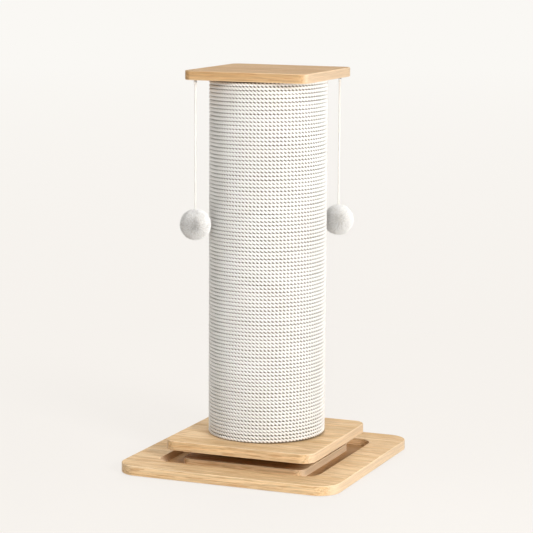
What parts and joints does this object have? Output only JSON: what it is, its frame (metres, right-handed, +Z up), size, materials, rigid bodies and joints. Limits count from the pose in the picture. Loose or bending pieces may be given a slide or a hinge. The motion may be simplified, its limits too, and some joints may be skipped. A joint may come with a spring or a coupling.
{
  "type": "cat scratching post",
  "caption": "Rope-wound scratching post between square wooden boards, with pom-poms hung on strings from the top board and a ball race routed in the base.",
  "frame": {"origin": "on the floor under the middle of the base board, on the axis of the post", "axes": "+Z up along the post, +X along the front edge of the boards towards the right, +Y towards the back"},
  "size_m": [0.4, 0.4, 0.6895],
  "materials": {
    "board_wood": "light oiled board with straight grain along its front edge, edges eased and clear varnished",
    "inner_wood": "plain unfinished board",
    "tube_board": "spiral-wound grey-brown cardboard",
    "rope": "off-white three-strand twisted cotton and sisal rope, matt and slightly hairy",
    "string_cord": "off-white twisted cotton cord",
    "yarn": "dense off-white wool yarn, trimmed to a ball",
    "zinc_steel": "bright zinc-plated steel",
    "pad_rubber": "matt non-slip rubber foam",
    "ball_wood": "turned and waxed beech"
  },
  "bodies": {
    "stand": {"non_slip_pad_front_left": "pad_rubber", "non_slip_pad_front_right": "pad_rubber", "non_slip_pad_back_left": "pad_rubber", "non_slip_pad_back_right": "pad_rubber", "base_board": "board_wood", "spacer_block": "inner_wood", "step_board": "board_wood", "core_tube": "tube_board", "lower_end_disc": "inner_wood", "upper_end_disc": "inner_wood", "top_board": "board_wood", "deck_screws": "zinc_steel", "top_board_screws": "zinc_steel", "lower_rim_screws": "zinc_steel", "upper_rim_screws": "zinc_steel", "post_bolts": "zinc_steel", "bolt_washers": "zinc_steel", "threaded_inserts": "zinc_steel", "rope_length_1": "rope", "rope_length_2": "rope", "rope_length_3": "rope", "rope_length_4": "rope", "rope_length_5": "rope", "left_string_staple": "zinc_steel", "right_string_staple": "zinc_steel"},
    "left_loop": {"left_string_loop": "string_cord"},
    "left_toy": {"left_string": "string_cord", "left_pompom": "yarn"},
    "right_loop": {"right_string_loop": "string_cord"},
    "right_toy": {"right_string": "string_cord", "right_pompom": "yarn"},
    "ball": {"track_ball": "ball_wood"}
  },
  "joints": [
    {"name": "left_loop_tilt", "type": "hinge", "parent": "stand", "child": "left_loop", "pos_m": [-0.095, -0.095, 0.6699], "axis": [-0.7071, 0.7071, 0], "range_deg": [-0.8, 75]},
    {"name": "left_toy_swing", "type": "hinge", "parent": "left_loop", "child": "left_toy", "pos_m": [-0.095, -0.095, 0.6649], "axis": [-0.7071, -0.7071, 0], "range_deg": [-75, 75]},
    {"name": "right_loop_tilt", "type": "hinge", "parent": "stand", "child": "right_loop", "pos_m": [0.095, 0.095, 0.6699], "axis": [0.7071, -0.7071, 0], "range_deg": [-0.8, 75]},
    {"name": "right_toy_swing", "type": "hinge", "parent": "right_loop", "child": "right_toy", "pos_m": [0.095, 0.095, 0.6649], "axis": [0.7071, 0.7071, 0], "range_deg": [-75, 75]},
    {"name": "ball_roll", "type": "slide", "parent": "stand", "child": "ball", "axis": [0, 1, 0], "range_m": [-0.16, 0.09]}
  ]
}
